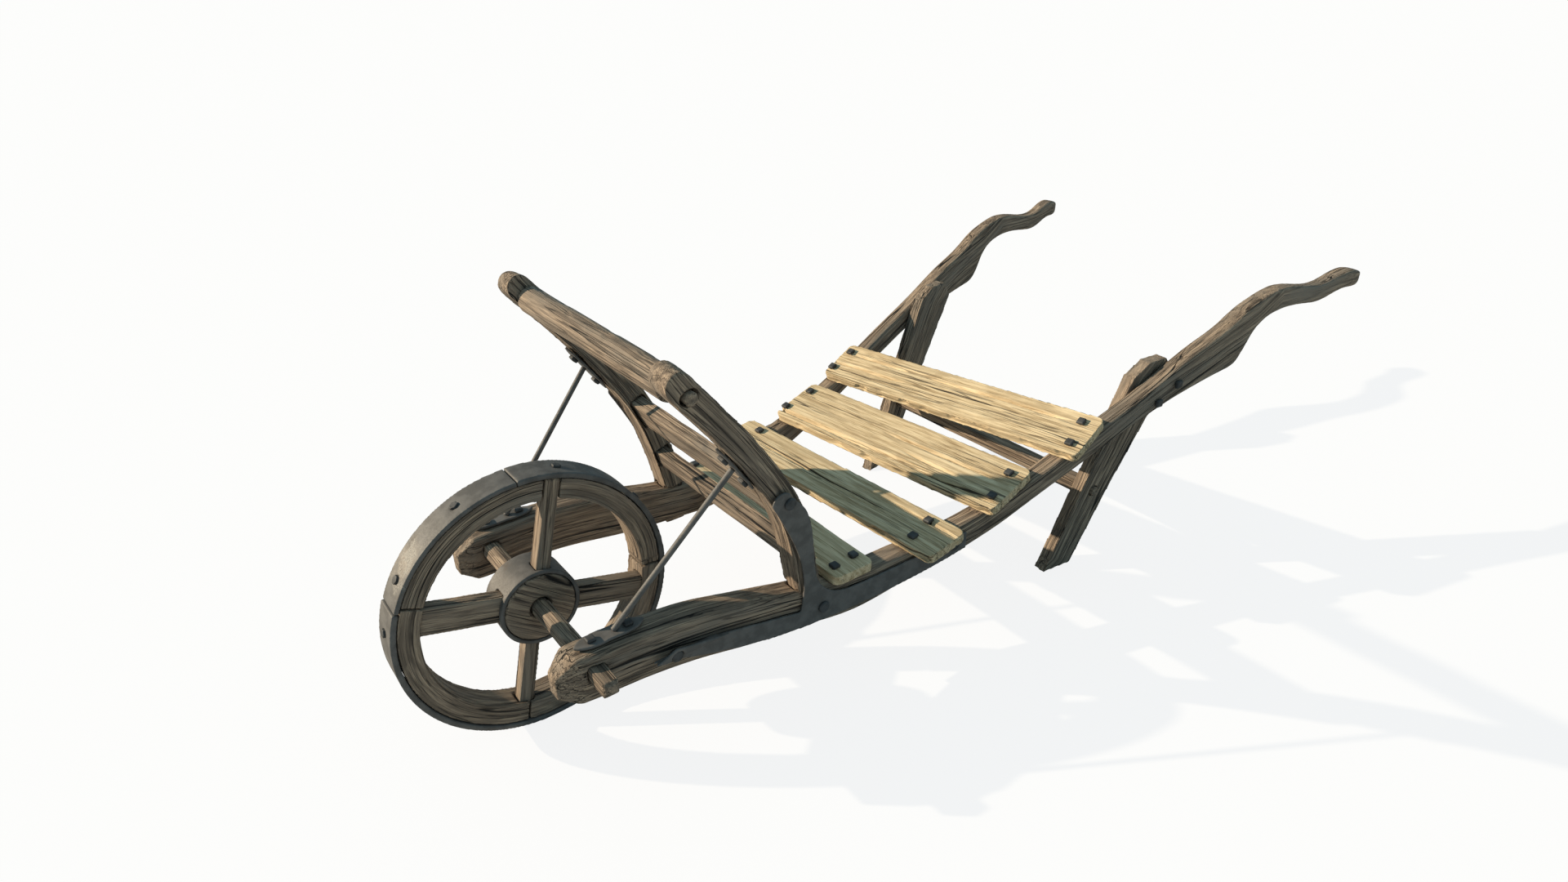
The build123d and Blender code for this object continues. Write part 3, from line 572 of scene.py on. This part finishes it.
@dataclass
class Piece:
    """One piece of the barrow, reworked from its solid in place."""

    node: str
    body: str
    slot: Slot
    surface: Surface
    flow: Flow = Flow.ALONG
    along: Triple = (1.0, 0.0, 0.0)
    seed: float = 0.0
    across: Triple = (0.0, 0.0, 1.0)
    splits: tuple[Split, ...] = ()
    obj: bpy.types.Object = field(default=None, repr=False)

    def build(self, material: bpy.types.Material) -> bpy.types.Object:
        """Make the finished piece.

        Args:
            material: its finish.

        Returns:
            The object, riding on its body in place of its solid.
        """
        self.copy_solid()
        self.refine()
        self.soften_edges()
        self.carve()
        self.obj.data.materials.clear()
        self.obj.data.materials.append(material)
        select_only(self.obj)
        bpy.ops.object.shade_smooth()
        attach(self.obj, self.body)
        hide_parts(self.node)
        log.info("%s: %d faces", self.obj.name, len(self.obj.data.polygons))
        return self.obj

    def copy_solid(self) -> None:
        """Copy the solid's mesh into a new, closed object."""
        select_only(frame["nodes"][self.node])
        bpy.ops.object.duplicate()
        self.obj = bpy.context.view_layer.objects.active
        self.obj.parent = None
        self.obj.name = f"{self.node}_worked"
        self.obj.data.name = self.obj.name
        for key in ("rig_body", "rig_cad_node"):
            del self.obj[key]
        select_only(self.obj)
        bpy.ops.object.mode_set(mode="EDIT")
        bpy.ops.mesh.select_all(action="SELECT")
        bpy.ops.mesh.remove_doubles(threshold=WELD)
        bpy.ops.object.mode_set(mode="OBJECT")

    def refine(self) -> None:
        """Give the piece an even, fine mesh."""
        self.obj.modifiers.new("cells", "REMESH")
        modifier = self.obj.modifiers["cells"]
        modifier.mode = "VOXEL"
        modifier.voxel_size = self.surface.cell
        select_only(self.obj)
        bpy.ops.object.modifier_apply(modifier="cells")
        self.smooth(1)

    def smooth(self, times: int) -> None:
        """Relax the mesh.

        Args:
            times: how many rounds.
        """
        modifier = self.obj.modifiers.new("relax", "SMOOTH")
        modifier.factor = 0.5
        modifier.iterations = times
        select_only(self.obj)
        bpy.ops.object.modifier_apply(modifier="relax")

    def soften_edges(self) -> None:
        """Round the edges unevenly, and note how exposed each spot is."""
        sharp = points_of(self.obj)
        self.smooth(self.surface.rounding)
        soft = points_of(self.obj)
        moved = np.linalg.norm(soft - sharp, axis=1)
        exposed = np.clip(moved / (FULL_WEAR * self.surface.cell), 0.0, 1.0)
        share = noise_at(sharp + self.seed, WORN_PATCHES)
        share = np.clip(self.surface.edge_wear * (0.2 + 1.6 * share), 0.0, 1.0)[:, None]
        self.obj.data.vertices.foreach_set("co", (sharp + (soft - sharp) * share).ravel())
        self.obj.data.update()
        wear = self.obj.data.attributes.new(WEAR, "FLOAT", "POINT")
        wear.data.foreach_set("value", exposed)

    def grain_places(self, points: np.ndarray) -> np.ndarray:
        """Place of each point along and across the fibres.

        Args:
            points: one place to a row.

        Returns:
            Rows of distance along, across one way and across the other.
        """
        if self.flow is Flow.AROUND:
            centre = wheel_centre()
            x, z = points[:, 0] - centre.x, points[:, 2] - centre.z
            angle = np.arctan2(z, x)
            return np.stack([angle * WHEEL_RADIUS, np.hypot(x, z), points[:, 1]], 1)
        along = np.array(Vector(self.along).normalized())
        second = np.array(Vector(self.across).normalized())
        second = second - along * (second @ along)
        second /= np.linalg.norm(second)
        third = np.cross(along, second)
        s, p, q = points @ along, points @ second, points @ third
        edges = np.linspace(s.min(), s.max(), SLICES)
        middles, centres = [], []
        for low, high in zip(edges[:-1], edges[1:]):
            here = (s >= low) & (s <= high)
            if here.any():
                middles.append((low + high) / 2)
                centres.append([(v[here].min() + v[here].max()) / 2 for v in (p, q)])
        line = np.array(centres)
        return np.stack([s, p - np.interp(s, middles, line[:, 0]),
                         q - np.interp(s, middles, line[:, 1])], 1)

    def carve(self) -> None:
        """Hollow the surface unevenly along the grain, and store the grain's places."""
        points, normals = points_of(self.obj), points_of(self.obj, "normal")
        grain = self.grain_places(points) + np.array(SEED_STEP) * self.seed
        worked = self.surface
        depth = worked.uneven * noise_at(grain, HOLLOWS)
        if worked.ridge:
            depth += worked.ridge * noise_at(grain, RIDGES)
        if self.flow is Flow.ALONG:
            facing_ends = (normals @ np.array(Vector(self.along).normalized())) ** 2
            depth *= 1.0 - END_GRAIN_CALM * facing_ends
        if worked.ragged:
            second = np.array(Vector(self.across).normalized())
            side = np.abs(normals @ second) ** 2
            bites = noise_at(grain, BITES) ** 2
            chips = np.clip(CHIP_GAIN * noise_at(grain, CHIPS) - CHIP_START, 0.0, 1.0)
            depth += worked.ragged * side * (bites + CHIP_SHARE * chips)
        for split in self.splits:
            depth += split.depth_at(grain, self.seed)
        self.obj.data.vertices.foreach_set("co", (points - normals * depth[:, None]).ravel())
        self.obj.data.update()
        place = self.obj.data.attributes.new(GRAIN, "FLOAT_VECTOR", "POINT")
        place.data.foreach_set("vector", grain.ravel())


# ---- sub-assemblies ---------------------------------------------------------


def wheel_centre() -> Vector:
    """The axle's middle, from the wheel's joint."""
    return Vector(frame["joints"][0]["pos_m"])


@dataclass
class Finishes:
    """All materials, built once."""

    frame_wood: bpy.types.Material
    bed_wood: bpy.types.Material
    iron: bpy.types.Material
    bolt: bpy.types.Material
    tyre: bpy.types.Material

    @classmethod
    def build(cls) -> "Finishes":
        """Make the shared effects, then each finish with its own values."""
        grain, forge = GrainEffect().build(), ForgeEffect().build()
        # spot of the painted glint on the tyre's tread, 40 degrees up at the front, where the
        # sun's reflection falls as seen from the camera
        angle = math.radians(40.0)
        painted_glint = wheel_centre() + WHEEL_RADIUS * Vector((math.cos(angle), 0, math.sin(angle)))
        return cls(
            frame_wood=WoodFinish(
                name="weathered_oak", dark=(0.095, 0.073, 0.057), middle=(0.245, 0.185, 0.138),
                light=(0.45, 0.34, 0.245), grey=(0.24, 0.215, 0.185), crack=(0.010, 0.008, 0.007),
                worn=(0.43, 0.315, 0.215), cracking=0.58, greying=0.16, ringing=0.70).build(grain),
            bed_wood=WoodFinish(
                name="dry_pine", dark=(0.31, 0.215, 0.115), middle=(0.61, 0.47, 0.29),
                light=(0.76, 0.62, 0.41), grey=(0.40, 0.36, 0.26), crack=(0.055, 0.040, 0.026),
                worn=(0.68, 0.55, 0.36), cracking=0.50, greying=0.05, ringing=0.60,
                bump=0.0012).build(grain),
            iron=IronFinish(name="forged_iron").build(forge),
            bolt=IronFinish(name="bolt_iron", dark=(0.035, 0.035, 0.037),
                            light=(0.070, 0.070, 0.072), rusting=0.25).build(forge),
            # the tyre gets the painted glint of the sun on its tread
            tyre=IronFinish(name="tyre_iron", dark=(0.092, 0.087, 0.084),
                            light=(0.132, 0.126, 0.122), glint_at=tuple(painted_glint)).build(forge),
        )


@dataclass
class Wheel:
    """The turning wheel: tyre, rim, spokes and hub."""

    rim: Surface = Surface(0.0026, 0.0014, 0.0006, 0.0, 0.45, 6)
    spoke: Surface = Surface(0.0022, 0.0012, 0.0006, 0.0012, 0.5, 6)
    tyre: Surface = Surface(0.0022, 0.0007, 0.0, 0.0, 0.15, 2)
    hub_grain: Triple = (0.78, 0.0, 0.62)

    def build(self, finishes: Finishes) -> None:
        """Make every piece of the wheel.

        Args:
            finishes: the materials.
        """
        wood, iron = Slot.FRAME_WOOD, Slot.WHEEL_IRON
        centre = wheel_centre()
        for i in range(1, 5):
            Piece(f"felloe_{i}", "wheel", wood, self.rim, Flow.AROUND,
                  seed=0.7 * i).build(finishes.frame_wood)
            low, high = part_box(f"spoke_{i}")
            out = (low + high) / 2 - centre
            along = (out.x, 0.0, out.z)
            Piece(f"spoke_{i}", "wheel", wood, self.spoke, along=along,
                  across=(-out.z, 0.0, out.x), seed=3.0 + i).build(finishes.frame_wood)
        Piece("hub", "wheel", wood, self.rim, along=self.hub_grain,
              seed=8.0).build(finishes.frame_wood)
        for name in ("tyre_strake_long", "tyre_strake_short"):
            Piece(name, "wheel", iron, self.tyre, Flow.AROUND, seed=9.0).build(finishes.tyre)
        Piece("hub_band", "wheel", iron, Surface(0.0016, 0.0006, 0.0, 0.0, 0.4, 4),
              Flow.AROUND, seed=10.0).build(finishes.iron)
        Piece("tread_nails", "wheel", iron, Surface(0.0009, 0.0003, 0.0, 0.0, 0.5, 3),
              seed=11.0).build(finishes.bolt)


@dataclass
class Frame:
    """The side timbers, axle, legs and their bar."""

    timber: Surface = Surface(0.0031, 0.0022, 0.0010, 0.0, 0.45, 6)
    leg: Surface = Surface(0.0026, 0.0016, 0.0008, 0.0030, 0.5, 7)
    bar: Surface = Surface(0.0022, 0.0012, 0.0007, 0.0, 0.5, 5)

    def build(self, finishes: Finishes) -> None:
        """Make the frame's wooden pieces.

        Args:
            finishes: the materials.
        """
        wood = Slot.FRAME_WOOD
        for i, side in enumerate(("left", "right")):
            Piece(f"side_timber_{side}", "frame", wood, self.timber,
                  seed=20.0 + i).build(finishes.frame_wood)
            low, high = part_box(f"leg_{side}")
            lean = (-(high.x - low.x) * 0.72, 0.0, high.z - low.z)
            Piece(f"leg_{side}", "frame", wood, self.leg, along=lean,
                  across=(lean[2], 0.0, -lean[0]), seed=23.0 + i).build(finishes.frame_wood)
        for i, name in enumerate(("axle", "leg_stretcher")):
            Piece(name, "frame", wood, self.bar, along=(0.0, 1.0, 0.0),
                  seed=26.0 + i).build(finishes.frame_wood)


@dataclass
class Rack:
    """The leaning front rack: two curved posts and three bars."""

    post: Surface = Surface(0.0026, 0.0022, 0.0012, 0.0024, 0.5, 7)
    bar: Surface = Surface(0.0024, 0.0018, 0.0009, 0.0022, 0.6, 7)
    post_along: Triple = (0.5, 0.0, 0.87)

    def build(self, finishes: Finishes) -> None:
        """Make the rack's pieces.

        Args:
            finishes: the materials.
        """
        for i, side in enumerate(("left", "right")):
            Piece(f"rack_post_{side}", "frame", Slot.FRAME_WOOD, self.post,
                  along=self.post_along, across=(0.87, 0.0, -0.5),
                  seed=30.0 + i).build(finishes.frame_wood)
        for i, name in enumerate(("top", "middle", "lower")):
            Piece(f"rack_bar_{name}", "frame", Slot.FRAME_WOOD, self.bar,
                  along=(0.0, 1.0, 0.0), seed=33.0 + i).build(finishes.frame_wood)


@dataclass
class Bed:
    """The four bed boards and their bolts."""

    board: Surface = Surface(0.0019, 0.0010, 0.0006, 0.0060, 0.5, 5)
    bolt: Surface = Surface(0.0012, 0.0004, 0.0, 0.0, 0.6, 3)
    splits: dict[int, tuple[Split, ...]] = field(default_factory=lambda: {
        2: (Split(0.004, -0.20, 0.16), Split(-0.020, 0.02, 0.30)),
        3: (Split(0.041, -0.30, 0.28, 0.0036, 0.007), Split(-0.006, -0.02, 0.28),
            Split(0.020, 0.05, 0.24)),
        4: (Split(-0.018, -0.25, 0.27), Split(0.012, -0.29, -0.08)),
    })

    def build(self, finishes: Finishes) -> None:
        """Make the boards and bolts.

        Args:
            finishes: the materials.
        """
        for i in range(1, 5):
            name = f"deck_plank_{i}"
            low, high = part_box(name)
            slant = (low.x - high.x + 0.09) * 0.6 if i > 2 else 0.0
            Piece(name, "frame", Slot.BED_WOOD, self.board, along=(slant, high.y - low.y, 0.0),
                  across=(1.0, 0.0, 0.0), seed=40.0 + i,
                  splits=self.splits.get(i, ())).build(finishes.bed_wood)
        Piece("deck_bolts", "frame", Slot.FORGED_IRON, self.bolt,
              seed=46.0).build(finishes.bolt)


@dataclass
class Ironwork:
    """Straps, stays, their plates and the remaining bolts."""

    strap: Surface = Surface(0.0017, 0.0007, 0.0, 0.0, 0.5, 4)
    plate: Surface = Surface(0.0013, 0.0005, 0.0, 0.0, 0.5, 4)
    bolt: Surface = Surface(0.0011, 0.0004, 0.0, 0.0, 0.6, 3)

    def build(self, finishes: Finishes) -> None:
        """Make the ironwork.

        Args:
            finishes: the materials.
        """
        iron = Slot.FORGED_IRON
        for i, side in enumerate(("left", "right")):
            Piece(f"strap_{side}", "frame", iron, self.strap, seed=50.0 + i).build(finishes.iron)
            for j, name in enumerate(("stay_rod", "stay_foot_plate", "stay_head_plate")):
                Piece(f"{name}_{side}", "frame", iron, self.plate,
                      seed=52.0 + 3 * i + j).build(finishes.iron)
        for i, name in enumerate(("strap_bolts", "stay_bolts", "leg_bolts")):
            Piece(name, "frame", iron, self.bolt, seed=60.0 + i).build(finishes.bolt)


@dataclass
class Studio:
    """Floor, light and camera."""

    floor_size: float = 80.0
    camera_place: Triple = (0.3581, 1.1116, 1.0533)     # from the wheel's contact point
    camera_right: Triple = (-0.79615, 0.60472, -0.02134)
    camera_up: Triple = (-0.30051, -0.36453, 0.88137)
    lens: float = 21.43
    sun_travel: Triple = (-1.70, 1.43, -1.0)
    sun_strength: float = 5.4
    sun_colour: Colour = (1.0, 0.84, 0.62)
    sky_colour: Colour = (0.56, 0.86, 1.0)
    sky_strength: float = 0.42

    def build(self) -> None:
        """Make the whole setting."""
        self.lay_floor()
        self.light()
        self.place_camera()
        bpy.context.scene.view_settings.view_transform = "Standard"

    def lay_floor(self) -> None:
        """A plain pale floor, bright enough to stand out little from the background."""
        bpy.ops.object.select_all(action="DESELECT")
        bpy.ops.mesh.primitive_plane_add(size=self.floor_size, location=(0, 0, -0.0005))
        floor = bpy.context.view_layer.objects.active
        floor.name = "floor"
        material = bpy.data.materials.new("pale_floor")
        material.use_nodes = True
        shader = Shader(material.node_tree)
        matt = shader.add("ShaderNodeBsdfPrincipled", {
            "Base Color": (0.126, 0.126, 0.126, 1.0), "Roughness": 0.9,
            "Specular IOR Level": 0.0})
        bounce = shader.add("ShaderNodeBsdfPrincipled", {
            "Base Color": (0.55, 0.55, 0.55, 1.0), "Roughness": 0.9,
            "Specular IOR Level": 0.0})
        glow = shader.add("ShaderNodeEmission", {"Color": (1.0, 1.0, 1.0, 1.0),
                                                 "Strength": 0.862})
        both = shader.add("ShaderNodeAddShader", {0: matt.outputs[0], 1: glow.outputs[0]})
        seen = shader.add("ShaderNodeLightPath").outputs["Is Camera Ray"]
        mixed = shader.add("ShaderNodeMixShader", {0: seen, 1: bounce.outputs[0],
                                                   2: both.outputs[0]})
        shader.add("ShaderNodeOutputMaterial", {"Surface": mixed.outputs[0]})
        floor.data.materials.append(material)

    def light(self) -> None:
        """A warm low sun and a soft cool sky."""
        bpy.ops.object.select_all(action="DESELECT")
        bpy.ops.object.light_add(type="SUN", location=(0, 0, 3))
        sun = bpy.context.view_layer.objects.active
        sun.rotation_mode = "QUATERNION"
        sun.rotation_quaternion = Vector(self.sun_travel).to_track_quat("-Z", "Y")
        sun.data.energy = self.sun_strength
        sun.data.color = self.sun_colour
        sun.data.angle = math.radians(0.7)
        world = bpy.data.worlds.new("soft_sky")
        bpy.context.scene.world = world
        world.use_nodes = True
        shader = Shader(world.node_tree)
        sky = shader.add("ShaderNodeBackground", {"Color": (*self.sky_colour, 1.0),
                                                  "Strength": self.sky_strength})
        shader.add("ShaderNodeOutputWorld", {"Surface": sky.outputs[0]})

    def place_camera(self) -> None:
        """Set the camera at the viewing angle, in relation to the wheel."""
        data = bpy.data.cameras.new("camera")
        data.lens = self.lens
        data.sensor_width = 36.0
        data.sensor_fit = "HORIZONTAL"
        data.clip_end = 200.0
        camera = bpy.data.objects.new("camera", data)
        bpy.context.scene.collection.objects.link(camera)
        right, up = Vector(self.camera_right), Vector(self.camera_up)
        turn = Matrix((right, up, right.cross(up))).transposed().to_4x4()
        contact = wheel_centre() - Vector((0, 0, WHEEL_RADIUS))
        camera.matrix_world = Matrix.Translation(contact + Vector(self.camera_place)) @ turn
        bpy.context.scene.camera = camera


def main() -> None:
    """Build the barrow around its frame, then the studio; each piece logs its face count."""
    logging.basicConfig(level=logging.INFO, format="%(name)s: %(message)s")
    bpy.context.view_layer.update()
    finishes = Finishes.build()
    for part in (Wheel(), Frame(), Rack(), Bed(), Ironwork()):
        log.info("building %s", type(part).__name__)
        part.build(finishes)
    for node in frame["nodes"].values():
        if not node.hide_render:
            node.data.materials.clear()
            node.data.materials.append(finishes.frame_wood)
            log.info("%s keeps its solid", node.name)
    Studio().build()


if __name__ == "__main__":
    main()
